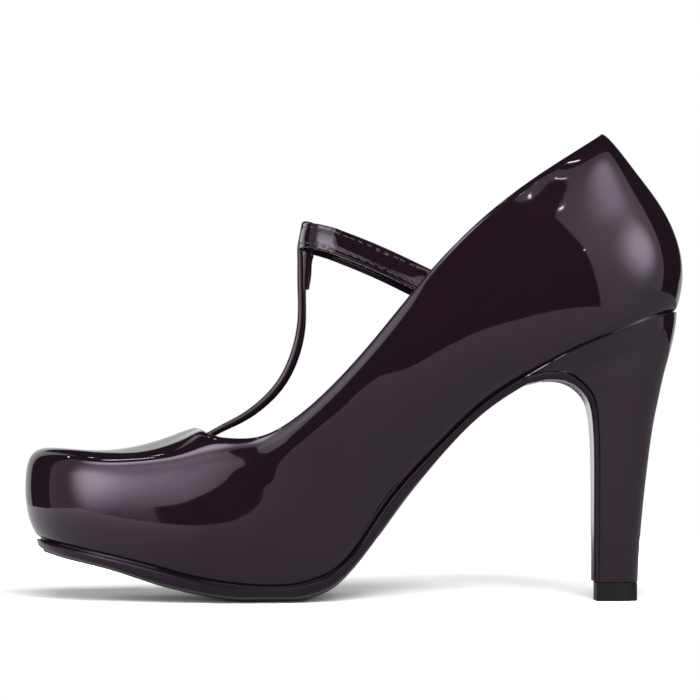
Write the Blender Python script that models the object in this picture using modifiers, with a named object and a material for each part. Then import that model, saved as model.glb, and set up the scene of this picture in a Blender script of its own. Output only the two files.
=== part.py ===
"""High-heeled T-strap platform pump, a right shoe, built as separate named pieces.

Lengths in the tables are millimetres. The toe points along -X, the heel along +X, the inner
side of the foot is -Y and the floor is z = 0. The origin is under the middle of the shoe.
"""

import math
from collections import namedtuple

import bmesh
import bpy
import numpy as np
from mathutils import Vector

MM = 0.001

# Driving sizes
GAP = 0.3                 # running gap between pieces that touch
FACET = 0.15              # extra where the facets of two tight curves face each other
WALL = 1.8                # upper: patent skin, backing and lining together
INSOLE = 2.5              # insole board with its sock
WELT, WAIST_WELT = 0.9, 0.3   # outsole edge past the upper at toe and ball, and at the waist
TOP_LIFT = 6.0            # rubber tip under the heel
STRAP_WIDTH, STRAP_THICK = 8.4, 1.8
STEM_WIDTH = 6.4

# Steps of the meshes
ROUND_STEPS, RISE_STEPS = 88, 14

# Side view: where the upper meets the sole (seam), and the underside of the outsole on its
# centre line (ground), from the toe to the back of the heel seat. camber is how much higher the
# outsole's rim lies than its centre line. The forefoot stands on the floor where ground is 0.
SoleRow = namedtuple("SoleRow", "x seam ground camber")
SOLE = (
    SoleRow(-106.5, 21.4, 17.4, 0.9),
    SoleRow(-98.0, 19.2, 14.7, 1.2),
    SoleRow(-83.0, 15.8, 11.0, 1.4),
    SoleRow(-64.5, 11.4, 5.2, 1.6),
    SoleRow(-54.8, 8.8, 2.7, 1.8),
    SoleRow(-45.0, 6.9, 0.8, 1.9),
    SoleRow(-38.0, 6.0, 0.0, 1.9),
    SoleRow(-28.0, 5.4, -0.4, 1.9),
    SoleRow(-19.0, 6.0, 0.0, 1.9),
    SoleRow(-12.6, 7.7, 1.6, 1.8),
    SoleRow(-6.9, 10.3, 4.6, 1.4),
    SoleRow(0.3, 17.6, 11.6, 1.2),
    SoleRow(8.6, 29.8, 22.4, 1.2),
    SoleRow(15.8, 39.2, 32.4, 1.1),
    SoleRow(25.2, 49.3, 44.2, 0.8),
    SoleRow(41.6, 65.2, 61.6, 0.4),
    SoleRow(58.6, 76.4, 73.2, 0.2),
    SoleRow(75.0, 85.2, 81.8, 0.2),
    SoleRow(90.6, 91.6, 88.2, 0.2),
    SoleRow(100.0, 95.4, 92.0, 0.2),
    SoleRow(108.7, 97.6, 94.2, 0.2),
)

# Side view: the top edge of the collar, from the front of the throat to the back of the heel.
EdgeRow = namedtuple("EdgeRow", "x z")
TOP_LINE = (
    EdgeRow(-53.6, 59.1),
    EdgeRow(-48.0, 56.3),
    EdgeRow(-40.0, 54.9),
    EdgeRow(-31.0, 55.6),
    EdgeRow(-21.5, 60.4),
    EdgeRow(-8.2, 71.8),
    EdgeRow(5.0, 86.3),
    EdgeRow(24.9, 110.2),
    EdgeRow(44.8, 129.9),
    EdgeRow(65.1, 145.3),
    EdgeRow(84.0, 158.0),
)

# Top edge of the footbed that the foot stands on.
FOOTBED = (
    EdgeRow(-106.0, 32.0),
    EdgeRow(-85.0, 27.0),
    EdgeRow(-60.0, 21.6),
    EdgeRow(-35.0, 18.6),
    EdgeRow(-18.0, 18.6),
    EdgeRow(-4.0, 23.4),
    EdgeRow(6.0, 31.6),
    EdgeRow(14.0, 40.4),
)

# Sections of the upper, from the back of the heel to the toe tip. Each has its foot at the sole
# and its edge at the collar, with the y of the inner and the outer side. low, mid, top and crown
# are how far the wall swells out at four heights. square is 0 for a plain wall and 1 for a boxed
# toe. drop and sag lower the wall at top and at crown, as a share of the height: over the toe they
# are the dip of the vamp before it rises to the throat.
Section = namedtuple("Section", "name foot_x foot_in foot_out edge_x edge_in edge_out "
                                "low mid top crown square drop sag")
SECTIONS = (
    Section("back", 108.4, 0.0, 0.0, 84.0, 0.0, 0.0, 8.0, 12.2, 7.3, 2.6, 0.0, 0.0, 0.0),
    Section("counter", 101.0, -14.5, 14.8, 80.4, -9.5, 9.5, 6.5, 10.2, 6.8, 3.4, 0.0, 0.0, -0.07),
    Section("seat", 84.0, -21.8, 22.2, 63.0, -19.0, 19.4, 4.0, 7.6, 5.2, 1.8, 0.0, 0.0, -0.02),
    Section("breast", 62.0, -22.2, 23.6, 45.0, -25.0, 25.0, 3.2, 6.4, 5.2, 2.0, 0.0, 0.0, 0.0),
    Section("waist", 38.0, -22.6, 24.8, 24.0, -30.0, 29.4, 2.8, 5.8, 5.4, 3.0, 0.0, 0.0, 0.0),
    Section("arch", 14.0, -24.2, 28.5, 4.0, -33.4, 33.0, 1.2, 3.2, 4.4, 4.2, 0.0, -0.03, -0.04),
    Section("joint", -10.0, -29.6, 33.8, -15.0, -35.9, 35.8, 0.2, 1.0, 2.8, 4.4, 0.0, -0.04, -0.05),
    Section("ball", -36.0, -35.8, 36.2, -31.0, -36.1, 35.9, 2.0, 3.2, 3.2, 3.3, 0.05, -0.02, -0.04),
    Section("tread", -62.0, -36.0, 33.2, -48.0, -32.4, 29.4, 2.6, 4.0, 3.0, 2.3, 0.5, 0.01, 0.03),
    Section("side", -85.0, -32.0, 24.0, -51.5, -19.0, 17.0, 3.9, 5.2, 2.2, 0.6, 0.85, 0.05, 0.14),
    Section("corner", -99.5, -23.0, 10.8, -53.0, -9.2, 7.2, 4.5, 5.8, 2.0, 0.8, 0.95, 0.01, 0.22),
    Section("tip", -105.8, -6.5, -6.5, -53.6, -1.0, -1.0, 4.5, 5.6, 1.4, 0.8, 1.0, -0.01, 0.28),
)
# Shares of the way from foot to edge, in plan (run) and in height (rise), of the four middle
# control points of a section's curve: for a plain wall, and for a boxed toe.
PLAIN_RUN, BOXED_RUN = (0.17, 0.45, 0.72, 0.88), (0.0, 0.0, 0.0, 0.5)
PLAIN_RISE, BOXED_RISE = (0.17, 0.45, 0.72, 0.88), (0.15, 0.6, 0.905, 0.95)

# Outsole past the waist: it leaves the upper, bends down and faces the heel breast.
BREAST_FROM = 3.2         # place round the shoe, in sections, where the bend begins
BendRow = namedtuple("BendRow", "x z half thick")
BREAST_BEND = (
    BendRow(63.5, 76.35, 20.4, 2.3),
    BendRow(69.1, 76.2, 18.4, 2.3),
    BendRow(73.6, 74.4, 17.0, 2.0),
    BendRow(77.0, 71.6, 16.0, 1.8),
    BendRow(79.8, 67.2, 14.9, 1.7),
    BendRow(81.1, 60.0, 13.5, 1.6),
    BendRow(81.7, 47.0, 11.8, 1.6),
    BendRow(81.7, 25.0, 9.7, 1.6),
    BendRow(81.7, 6.6, 8.6, 1.6),
)

# Sections of the heel from its seat to its foot: front and back points, and half its width.
HeelRow = namedtuple("HeelRow", "front_x front_z back_x back_z half")
HEEL = (
    HeelRow(58.8, 76.15, 108.8, 97.2, 21.8),
    HeelRow(69.8, 76.9, 108.4, 93.0, 18.9),
    HeelRow(74.2, 75.0, 107.3, 87.2, 17.4),
    HeelRow(77.5, 72.2, 105.8, 81.4, 16.4),
    HeelRow(80.3, 67.8, 104.2, 75.5, 15.2),
    HeelRow(81.6, 60.0, 102.2, 66.5, 13.8),
    HeelRow(82.1, 47.0, 99.8, 53.2, 12.0),
    HeelRow(82.1, 25.0, 96.7, 27.0, 9.8),
    HeelRow(82.1, 6.3, 95.3, 6.3, 8.6),
)
SEAT_RUN = 8.0            # length of the thin front of the heel, over which the seat's curve sets in
HEEL_ROUND = 2.5          # exponent of the heel's D-shaped outline
HEEL_SIDE_STEPS = 11
HEEL_STEPS = 22
LIFT_FRONT, LIFT_BACK, LIFT_HALF = 81.0, 95.2, 8.5

# Instep strap: its middle line from the front of the instep to its end inside the inner quarter.
# lean tips its face back from upright, in degrees. The outer half mirrors the inner one, and past
# TUCK_FROM both lie against the lining.
StrapRow = namedtuple("StrapRow", "x y z lean")
STRAP = (
    StrapRow(-16.8, 0.0, 122.4, 10.0),
    StrapRow(-16.8, -4.8, 122.4, 10.0),
    StrapRow(-17.0, -6.4, 122.4, 10.0),
    StrapRow(-17.2, -8.4, 122.4, 10.0),
    StrapRow(-17.1, -11.4, 122.4, 10.0),
    StrapRow(-16.7, -14.4, 122.4, 10.0),
    StrapRow(-15.9, -17.0, 122.3, 10.0),
    StrapRow(-14.7, -18.9, 122.1, 10.5),
    StrapRow(-13.2, -20.2, 121.8, 11.0),
    StrapRow(-11.4, -21.2, 121.4, 11.5),
    StrapRow(-8.2, -22.4, 120.5, 12.0),
    StrapRow(-4.9, -23.2, 119.3, 12.0),
    StrapRow(6.0, -24.1, 114.9, 12.0),
    StrapRow(19.0, -25.2, 108.8, 10.0),
    StrapRow(34.0, -27.0, 101.4, 8.0),
)
TUCK_FROM = 30.0
TUCK_GAP = 1.0            # room for the wall's curve behind a flat strap
STRAP_STEPS = 84

# Stem of the T: its middle line in the plane y = STEM_Y, from under the vamp up to the strap.
STEM_Y = -1.2
StemRow = namedtuple("StemRow", "x z thick")
STEM = (
    StemRow(-67.0, 50.0, 2.2),
    StemRow(-60.7, 52.2, 2.2),
    StemRow(-55.0, 54.6, 2.2),
    StemRow(-50.6, 55.2, 2.2),
    StemRow(-46.0, 57.4, 2.4),
    StemRow(-38.3, 61.3, 2.8),
    StemRow(-31.6, 66.0, 3.1),
    StemRow(-24.9, 73.2, 3.3),
    StemRow(-20.2, 82.8, 3.4),
    StemRow(-18.0, 93.0, 3.2),
    StemRow(-17.8, 101.0, 3.0),
    StemRow(-18.5, 106.0, 1.9),
    StemRow(-18.6, 110.5, 1.8),
    StemRow(-18.7, 115.0, 1.6),
    StemRow(-18.8, 117.0, 1.5),
)
# The stem's loop round the strap, from the strap's own middle: out is ahead of it, up along it.
LoopRow = namedtuple("LoopRow", "out up thick")
LOOP = (
    LoopRow(1.6, -4.2, 0.9),
    LoopRow(1.6, 0.0, 0.9),
    LoopRow(1.6, 3.1, 0.9),
    LoopRow(1.4, 4.75, 0.8),
    LoopRow(-0.1, 5.15, 0.7),
    LoopRow(-1.9, 4.75, 1.0),
    LoopRow(-2.5, 3.3, 1.5),
    LoopRow(-2.7, 0.0, 1.8),
    LoopRow(-2.6, -3.9, 1.9),
)
# The end of the loop, turned down behind the stem.
TAIL = (
    StemRow(-15.5, 116.4, 3.4),
    StemRow(-15.7, 114.6, 3.0),
    StemRow(-15.9, 110.4, 2.8),
    StemRow(-16.1, 106.2, 2.1),
    StemRow(-16.0, 104.6, 1.4),
)
STEM_STEPS = 120


def spline(knots, values, period=None):
    """A smooth curve through the values: natural at its ends, or closed over a period."""
    x, y = np.array(knots, float), np.array(values, float)
    if period:
        x = np.append(x, x[0] + period)
        y = np.append(y, y[0])
    n = len(x) - 1
    step = np.diff(x)
    rise = np.diff(y) / step
    matrix, right = np.zeros((n + 1, n + 1)), np.zeros(n + 1)
    for i in range(1, n):
        matrix[i, i - 1:i + 2] = step[i - 1], 2 * (step[i - 1] + step[i]), step[i]
        right[i] = 6 * (rise[i] - rise[i - 1])
    if period:
        matrix[0, 0], matrix[0, n] = 1, -1
        matrix[n, 0], matrix[n, 1] = 2 * step[0], step[0]
        matrix[n, n - 1], matrix[n, n] = step[-1], 2 * step[-1]
        right[n] = 6 * (rise[0] - rise[-1])
    else:
        matrix[0, 0] = matrix[n, n] = 1
    bend = np.linalg.solve(matrix, right)

    def at(t):
        if period:
            t = x[0] + (t - x[0]) % period
        i = int(min(max(np.searchsorted(x, t) - 1, 0), n - 1))
        h, a, b = step[i], x[i + 1] - t, t - x[i]
        return float(
            (bend[i] * a ** 3 + bend[i + 1] * b ** 3) / (6 * h)
            + (y[i] / h - bend[i] * h / 6) * a
            + (y[i + 1] / h - bend[i + 1] * h / 6) * b
        )

    return at


def column(rows, x, y):
    return spline([getattr(r, x) for r in rows], [getattr(r, y) for r in rows])


seam_z = column(SOLE, "x", "seam")
ground_curve = column(SOLE, "x", "ground")
camber = column(SOLE, "x", "camber")
top_line_z = column(TOP_LINE, "x", "z")
footbed_near_toe = column(FOOTBED, "x", "z")
PLATFORM_END = FOOTBED[-1].x


def ground_z(x):
    return max(ground_curve(x), 0.0)


def under_seam(x):
    """Height a running gap below the seam, measured square to its slope."""
    slope = seam_z(x + 0.1) - seam_z(x - 0.1)
    return seam_z(x) - GAP * math.hypot(1, slope / 0.2)


def footbed_z(x):
    """Top of the insole: its own curve over the platform, a board's thickness over the seam behind."""
    behind = seam_z(x) + INSOLE + GAP
    return behind if x >= PLATFORM_END else max(footbed_near_toe(x), behind)


# Places round the shoe count sections: 0 at the back, TIP at the toe along the inner side, and on
# to 2 * TIP along the outer side.
TIP = len(SECTIONS) - 1
LAP = 2 * TIP


def round_column(inner, outer):
    values = [getattr(s, inner) for s in SECTIONS] + [getattr(s, outer) for s in SECTIONS[-2:0:-1]]
    return spline(range(LAP), values, period=LAP)


ROUND = {name: round_column(name, name) for name in Section._fields[1:] if not name.endswith(("in", "out"))}
ROUND["foot_y"] = round_column("foot_in", "foot_out")
ROUND["edge_y"] = round_column("edge_in", "edge_out")


def foot_point(place):
    x = ROUND["foot_x"](place)
    return Vector((x, ROUND["foot_y"](place), seam_z(x)))


def outward(place):
    """Level direction that faces out of the shoe, square to the seam's outline."""
    ahead, behind = foot_point(place + 0.05), foot_point(place - 0.05)
    along = ahead - behind
    return Vector((-along.y, along.x, 0)).normalized()


def bezier_chain(points, share):
    """A clamped cubic B-spline through its control points, by repeated mixing."""
    spans = len(points) - 3
    knots = [0.0] * 3 + [i / spans for i in range(spans + 1)] + [1.0] * 3
    span = min(int(share * spans), spans - 1) + 3
    mixed = [points[span - 3 + i].copy() for i in range(4)]
    for level in range(1, 4):
        for i in range(3, level - 1, -1):
            low = knots[span - 3 + i]
            high = knots[span + 1 + i - level]
            part = (share - low) / (high - low)
            mixed[i] = mixed[i - 1].lerp(mixed[i], part)
    return mixed[3]


def section_curve(place):
    """Control points of the upper's outer skin at one place, from the sole to the collar."""
    foot = foot_point(place)
    edge_x = ROUND["edge_x"](place)
    edge = Vector((edge_x, ROUND["edge_y"](place), top_line_z(edge_x)))
    out, square = outward(place), ROUND["square"](place)
    swells = [ROUND[name](place) for name in ("low", "mid", "top", "crown")]
    drops = (0, 0, ROUND["drop"](place), ROUND["sag"](place))
    points = [foot]
    for i in range(4):
        run = PLAIN_RUN[i] + (BOXED_RUN[i] - PLAIN_RUN[i]) * square
        rise = PLAIN_RISE[i] + (BOXED_RISE[i] - PLAIN_RISE[i]) * square - drops[i]
        point = foot.lerp(edge, run)
        point.z = foot.z + (edge.z - foot.z) * rise
        points.append(point + out * swells[i])
    return points + [edge]


def skin(place, share):
    return bezier_chain(section_curve(place), share)


def lining(place, share, depth=WALL):
    """A point under the outer skin, square to it."""
    low, high = max(share - 0.01, 0), min(share + 0.01, 1)
    up = skin(place, high) - skin(place, low)
    along = skin(place + 0.05, share) - skin(place - 0.05, share)
    return skin(place, share) - up.cross(along).normalized() * depth


def lining_at(place, height_at, depth):
    """The point under the skin that lies on a height given over x, found by halving."""
    low, high = 0.0, 0.7
    for _ in range(24):
        middle = (low + high) / 2
        point = lining(place, middle, depth)
        low, high = (middle, high) if point.z < height_at(point.x) else (low, middle)
    return lining(place, (low + high) / 2, depth)


def loft(name, loops, material):
    """A solid through closed loops of points. A loop's first and last points face each other,
    and so do the next ones in, so an end is closed by a ladder of faces between its sides."""
    mesh = bmesh.new()
    rings = [[mesh.verts.new(Vector(p) * MM) for p in loop] for loop in loops]
    count = len(rings[0])
    for ring, following in zip(rings, rings[1:]):
        for i in range(count):
            j = (i + 1) % count
            mesh.faces.new((ring[i], ring[j], following[j], following[i]))
    for ring in (rings[0], rings[-1]):
        for i in range(count // 2 - (count % 2 == 0)):
            corners = dict.fromkeys((ring[i], ring[i + 1], ring[count - 2 - i], ring[count - 1 - i]))
            mesh.faces.new(tuple(corners))
    bmesh.ops.recalc_face_normals(mesh, faces=mesh.faces)
    return add_object(name, mesh, material)


def add_object(name, mesh, material):
    data = bpy.data.meshes.new(name)
    mesh.to_mesh(data)
    mesh.free()
    data.shade_smooth()
    data.set_sharp_from_angle(angle=math.radians(40))
    data.materials.append(material)
    made = bpy.data.objects.new(name, data)
    SHOE.objects.link(made)
    return made


def material(name, colour, roughness):
    made = bpy.data.materials.new(name)
    made.use_nodes = True
    shader = made.node_tree.nodes["Principled BSDF"]
    shader.inputs["Base Color"].default_value = (*colour, 1)
    shader.inputs["Roughness"].default_value = roughness
    return made


def make_upper(patent):
    """One wall round the last, open at the collar and underneath."""
    mesh = bmesh.new()
    bmesh.ops.create_grid(mesh, x_segments=ROUND_STEPS, y_segments=RISE_STEPS, size=0.5)
    for vert in mesh.verts:
        vert.co = skin((vert.co.x + 0.5) * LAP, vert.co.y + 0.5) * MM
    bmesh.ops.remove_doubles(mesh, verts=mesh.verts, dist=0.01 * MM)
    bmesh.ops.recalc_face_normals(mesh, faces=mesh.faces)
    upper = add_object("upper", mesh, patent)
    wall = upper.modifiers.new("wall", "SOLIDIFY")
    wall.thickness = WALL * MM
    wall.offset = -1
    return upper


def board_rows(first, last, steps, point_at):
    """Pairs of points on the inner and outer side, at places spaced from first to last."""
    places = [first + (last - first) * i / steps for i in range(steps + 1)]
    return [(point_at(place), point_at(LAP - place)) for place in places]


def slab(tops, bottoms):
    """Loops for a board, from the pairs of points along its top and bottom edges."""
    return [[t_in, b_in, b_out, t_out] for (t_in, t_out), (b_in, b_out) in zip(tops, bottoms)]


def make_insole(sock):
    def top(place):
        return lining_at(place, footbed_z, WALL + GAP + FACET)

    def bottom(place):
        return lining_at(place, lambda x: footbed_z(x) - INSOLE, WALL + GAP + FACET)

    first, last, steps = 0.25, TIP - 0.15, 48
    loops = slab(board_rows(first, last, steps, top), board_rows(first, last, steps, bottom))
    return loft("insole", loops, sock)


def make_platform(board):
    """Block under the ball of the foot, which the upper hides."""
    def edge(place, height_at):
        point = foot_point(place) - outward(place) * (WALL + GAP)
        return Vector((point.x, point.y, height_at(point.x)))

    def top(place):
        return edge(place, lambda x: footbed_z(x) - INSOLE - GAP)

    def bottom(place):
        return edge(place, lambda x: seam_z(x) + GAP)

    first, last, steps = 5.6, TIP - 0.25, 26
    loops = slab(board_rows(first, last, steps, top), board_rows(first, last, steps, bottom))
    return loft("platform", loops, board)


def make_outsole(leather):
    """From the toe along the waist, then down the heel breast."""
    loops = []
    first, steps = TIP - 0.05, 56
    for i in range(steps + 1):
        place = first - (first - BREAST_FROM) * (i / steps) ** 1.3
        welt = WAIST_WELT + (WELT - WAIST_WELT) * min(max((place - 4) / 4, 0), 1)
        inner = foot_point(place) + outward(place) * welt
        outer = foot_point(LAP - place) + outward(LAP - place) * welt
        x, width = inner.x, outer.y - inner.y
        top, low = under_seam(x), ground_z(x)
        rim = low + camber(x)
        loops.append([
            (x, inner.y, top), (x, inner.y, rim), (x, inner.y + 0.3 * width, low),
            (x, outer.y - 0.3 * width, low), (x, outer.y, rim), (x, outer.y, top),
        ])
    middle = (foot_point(BREAST_FROM).y + foot_point(LAP - BREAST_FROM).y) / 2
    counts = range(len(BREAST_BEND))
    bend = {key: spline(counts, [getattr(r, key) for r in BREAST_BEND]) for key in BendRow._fields}
    steps = 32
    for i in range(steps + 1):
        at = counts[-1] * i / steps
        x, z, half, thick = (bend[key](at) for key in BendRow._fields)
        along = Vector((bend["x"](at + 0.01) - bend["x"](at - 0.01), 0,
                        bend["z"](at + 0.01) - bend["z"](at - 0.01))).normalized()
        down = Vector((along.z, 0, -along.x)) * thick
        y = middle * (1 - i / steps)
        loops.append([
            (x, y - half, z), (x + down.x, y - half, z + down.z),
            (x + down.x, y - 0.6 * half, z + down.z), (x + down.x, y + 0.6 * half, z + down.z),
            (x + down.x, y + half, z + down.z), (x, y + half, z),
        ])
    return loft("outsole", loops, leather)


def d_outline(front, back, half, z_at):
    """A flat front and a round back, from the inner front corner to the outer one."""
    points = []
    for i in range(2 * HEEL_SIDE_STEPS + 1):
        angle = math.pi * (i / (2 * HEEL_SIDE_STEPS))
        side, along = -math.cos(angle), math.sin(angle)
        y = half * math.copysign(abs(side) ** (2 / HEEL_ROUND), side)
        x = front + (back - front) * along ** (2 / HEEL_ROUND)
        points.append((x, y, z_at(x)))
    return points


def make_heel(patent):
    rows = [spline(range(len(HEEL)), [getattr(r, key) for r in HEEL]) for key in HeelRow._fields]
    loops = []
    for i in range(HEEL_STEPS + 1):
        at = (len(HEEL) - 1) * i / HEEL_STEPS
        front_x, front_z, back_x, back_z, half = (row(at) for row in rows)
        seat = max(0, 1 - at) ** 2

        def z_at(x):
            straight = front_z + (back_z - front_z) * (x - front_x) / (back_x - front_x)
            return straight + seat * min((x - front_x) / SEAT_RUN, 1) * (under_seam(x) - straight)

        loops.append(d_outline(front_x, back_x, half, z_at))
    return loft("heel", loops, patent)


def make_top_lift(rubber):
    outlines = [
        d_outline(LIFT_FRONT, LIFT_BACK, LIFT_HALF, lambda x, z=z: z) for z in (0.0, TOP_LIFT)
    ]
    return loft("top_lift", outlines, rubber)


def against_lining(x, z, place, depth):
    """The point under the skin at a given x and z, found by a few corrections from a first place,
    and how far the wall leans there, in degrees."""
    at = np.array([place, 0.7])
    for _ in range(8):
        here = lining(at[0], at[1], depth)
        aside = lining(at[0] + 0.02, at[1], depth)
        above = lining(at[0], at[1] - 0.02, depth)
        slope = np.array([
            [(aside.x - here.x) / 0.02, (here.x - above.x) / 0.02],
            [(aside.z - here.z) / 0.02, (here.z - above.z) / 0.02],
        ])
        at = at + np.linalg.solve(slope, np.array([x - here.x, z - here.z]))
        at[1] = min(max(at[1], 0.1), 0.97)
    face = (lining(at[0], at[1], depth - 1) - lining(at[0], at[1], depth)).normalized()
    return lining(at[0], at[1], depth), math.degrees(math.asin(face.z))


def ribbon(centre, along, face, width, thick):
    """Section of a strap: corners from the outer top round to the inner top."""
    along = along.normalized()
    face = (face - along * face.dot(along)).normalized()
    up = face.cross(along)
    up = up if up.z >= 0 else -up
    across, through = up * width / 2, face * thick / 2
    return [centre + across + through, centre - across + through,
            centre - across - through, centre + across - through]


def make_strap(patent):
    depth = WALL + TUCK_GAP + STRAP_THICK / 2
    inner, outer = [], []
    for row in STRAP:
        for side, rows, place in ((1, inner, 4.0), (-1, outer, LAP - 4.0)):
            point, lean = Vector((row.x, side * row.y, row.z)), row.lean
            if row.x > TUCK_FROM:
                tucked, lean = against_lining(row.x, row.z, place, depth)
                point.y = tucked.y
            rows.append((point, lean))
    rows = inner[::-1] + outer[1:]
    curves = [spline(range(len(rows)), [p[axis] for p, _ in rows]) for axis in range(3)]
    lean_at = spline(range(len(rows)), [lean for _, lean in rows])
    loops = []
    for i in range(STRAP_STEPS + 1):
        at = (len(rows) - 1) * i / STRAP_STEPS
        centre = Vector([curve(at) for curve in curves])
        along = Vector([curve(at + 0.01) - curve(at - 0.01) for curve in curves])
        level = Vector((-along.y, along.x, 0)).normalized()
        lean = math.radians(lean_at(at))
        face = level * math.cos(lean) + Vector((0, 0, math.sin(lean)))
        loops.append(ribbon(centre, along, face, STRAP_WIDTH, STRAP_THICK))
    return loft("instep_strap", loops, patent)


def under_vamp(x, depth):
    """Height under the skin on the middle of the vamp, found by halving."""
    low, high = 0.6, 1.0
    for _ in range(24):
        middle = (low + high) / 2
        low, high = (middle, high) if lining(TIP, middle, depth).x < x else (low, middle)
    return lining(TIP, (low + high) / 2, depth).z


def stem_rows():
    """The stem's rows: those under the vamp lie against its lining, and the loop is set round the
    strap."""
    throat = SECTIONS[TIP].edge_x
    stem = []
    for row in STEM:
        z = row.z
        if row.x < throat:
            z = under_vamp(row.x, WALL + TUCK_GAP + row.thick / 2)
        stem.append(row._replace(z=z))
    middle, lean = STRAP[0], math.radians(STRAP[0].lean)
    loop = []
    for row in LOOP:
        x = middle.x - row.out * math.cos(lean) + row.up * math.sin(lean)
        z = middle.z + row.out * math.sin(lean) + row.up * math.cos(lean)
        loop.append(StemRow(x, z, row.thick))
    return [*stem, *loop, *TAIL]


def make_stem(patent):
    rows = stem_rows()
    lengths = [0.0]
    for row, following in zip(rows, rows[1:]):
        lengths.append(lengths[-1] + math.hypot(following.x - row.x, following.z - row.z))
    x_at, z_at, thick_at = (
        spline(lengths, [getattr(r, key) for r in rows]) for key in StemRow._fields
    )
    loops = []
    for i in range(STEM_STEPS + 1):
        at = lengths[-1] * i / STEM_STEPS
        along = Vector((x_at(at + 0.1) - x_at(at - 0.1), 0, z_at(at + 0.1) - z_at(at - 0.1))).normalized()
        face = Vector((-along.z, 0, along.x)) * thick_at(at) / 2
        side = Vector((0, STEM_WIDTH / 2, 0))
        centre = Vector((x_at(at), STEM_Y, z_at(at)))
        loops.append([centre + face - side, centre - face - side, centre - face + side, centre + face + side])
    return loft("t_stem", loops, patent)


def main():
    patent = material("aubergine_patent", (0.018, 0.010, 0.014), 0.08)
    heel_patent = material("heel_patent", (0.018, 0.010, 0.014), 0.08)
    strap_patent = material("strap_patent", (0.018, 0.010, 0.014), 0.12)
    stem_patent = material("stem_patent", (0.018, 0.010, 0.014), 0.12)
    sole_leather = material("sole_leather", (0.014, 0.011, 0.013), 0.25)
    rubber = material("black_rubber", (0.012, 0.011, 0.013), 0.5)
    sock = material("sock_lining", (0.021, 0.016, 0.018), 0.6)
    board = material("platform_board", (0.35, 0.27, 0.2), 0.8)
    make_upper(patent)
    make_insole(sock)
    make_platform(board)
    make_outsole(sole_leather)
    make_heel(heel_patent)
    make_top_lift(rubber)
    make_strap(strap_patent)
    make_stem(stem_patent)


for leftover in list(bpy.data.objects):
    bpy.data.objects.remove(leftover)
SHOE = bpy.data.collections.new("t_strap_pump")
bpy.context.scene.collection.children.link(SHOE)
main()
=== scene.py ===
# %% [markdown]
# # A patent T-strap pump
# This lesson dresses a packed shoe: a high heel, a thin platform, a closed square toe and a T-shaped
# strap, all in very dark aubergine patent leather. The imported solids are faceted, which a glossy
# surface would show, so each piece is modelled again here as a fine smooth mesh from the same sizes.

import math
from collections import namedtuple
from functools import lru_cache

import bmesh
import bpy
import numpy as np
from mathutils import Matrix, Vector


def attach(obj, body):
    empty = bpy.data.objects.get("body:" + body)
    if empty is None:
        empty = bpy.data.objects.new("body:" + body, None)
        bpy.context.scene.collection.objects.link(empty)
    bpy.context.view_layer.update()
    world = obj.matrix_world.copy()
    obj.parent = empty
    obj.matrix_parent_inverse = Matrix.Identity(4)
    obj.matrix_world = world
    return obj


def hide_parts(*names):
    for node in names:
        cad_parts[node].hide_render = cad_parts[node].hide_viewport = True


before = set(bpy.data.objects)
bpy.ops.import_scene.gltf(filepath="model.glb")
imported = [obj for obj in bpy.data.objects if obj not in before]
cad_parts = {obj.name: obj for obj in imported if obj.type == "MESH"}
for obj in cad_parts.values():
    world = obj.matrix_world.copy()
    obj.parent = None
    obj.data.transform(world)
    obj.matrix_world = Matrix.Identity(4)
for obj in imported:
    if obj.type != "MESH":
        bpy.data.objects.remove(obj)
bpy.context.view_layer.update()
MM = 0.001
print("nodes:", sorted(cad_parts))

# %% [markdown]
# ## Camera
# The picture was taken from the side with a long lens, a little above the floor. A lens of almost
# 200 mm on a 36 mm sensor keeps the two sides of the shoe nearly the same size, as the picture does.

# %% Camera
CAMERA_AT, LOOK_AT = Vector((-1.6, -1300, 45)), Vector((-1.6, 0, 84.5))
PICTURE_WIDTH = 236.5     # millimetres across the picture where the shoe stands
SENSOR = 36.0


def aim(made, place, target):
    """Sets an object at a place, with its -Z axis towards the target."""
    made.location = place * MM
    made.rotation_euler = (target - place).to_track_quat("-Z", "Y").to_euler()
    bpy.context.scene.collection.objects.link(made)
    return made


lens = bpy.data.cameras.new("camera")
lens.sensor_width = SENSOR
lens.lens = SENSOR * (LOOK_AT - CAMERA_AT).length / PICTURE_WIDTH
bpy.context.scene.camera = aim(bpy.data.objects.new("camera", lens), CAMERA_AT, LOOK_AT)
print(f"lens {lens.lens:.0f} mm")

# %% [markdown]
# ## Colours and nodes
# Colours are written as sRGB hex, as a paint chart gives them, and one function turns them to the
# linear values that a shader needs. Another adds a node: its settings are properties of the node,
# and its inputs are values or the output of another node.

# %% Colours and nodes


def linear(code):
    """An sRGB hex colour as linear red, green, blue and alpha."""
    parts = [int(code[i:i + 2], 16) / 255 for i in (1, 3, 5)]
    return (*(c / 12.92 if c <= 0.04045 else ((c + 0.055) / 1.055) ** 2.4 for c in parts), 1.0)


def add_node(tree, kind, inputs=None, **settings):
    """Adds one node with its settings, and links or fills its inputs."""
    made = tree.nodes.new(kind)
    for name, value in settings.items():
        setattr(made, name, value)
    for name, value in (inputs or {}).items():
        if isinstance(value, bpy.types.NodeSocket):
            tree.links.new(value, made.inputs[name])
        else:
            made.inputs[name].default_value = value
    return made


def new_material(name):
    """A material with an empty tree, and that tree."""
    made = bpy.data.materials.new(name)
    made.use_nodes = True
    made.node_tree.nodes.clear()
    return made, made.node_tree


def finish_with(tree, shader):
    add_node(tree, "ShaderNodeOutputMaterial", {"Surface": shader.outputs[0]})


def scale_for(size):
    """Scale of a pattern on Object coordinates, from the size in millimetres of one feature."""
    return 1 / (size * MM)


print(f"middle grey in linear light: {linear('#808080')[0]:.3f}")

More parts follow.
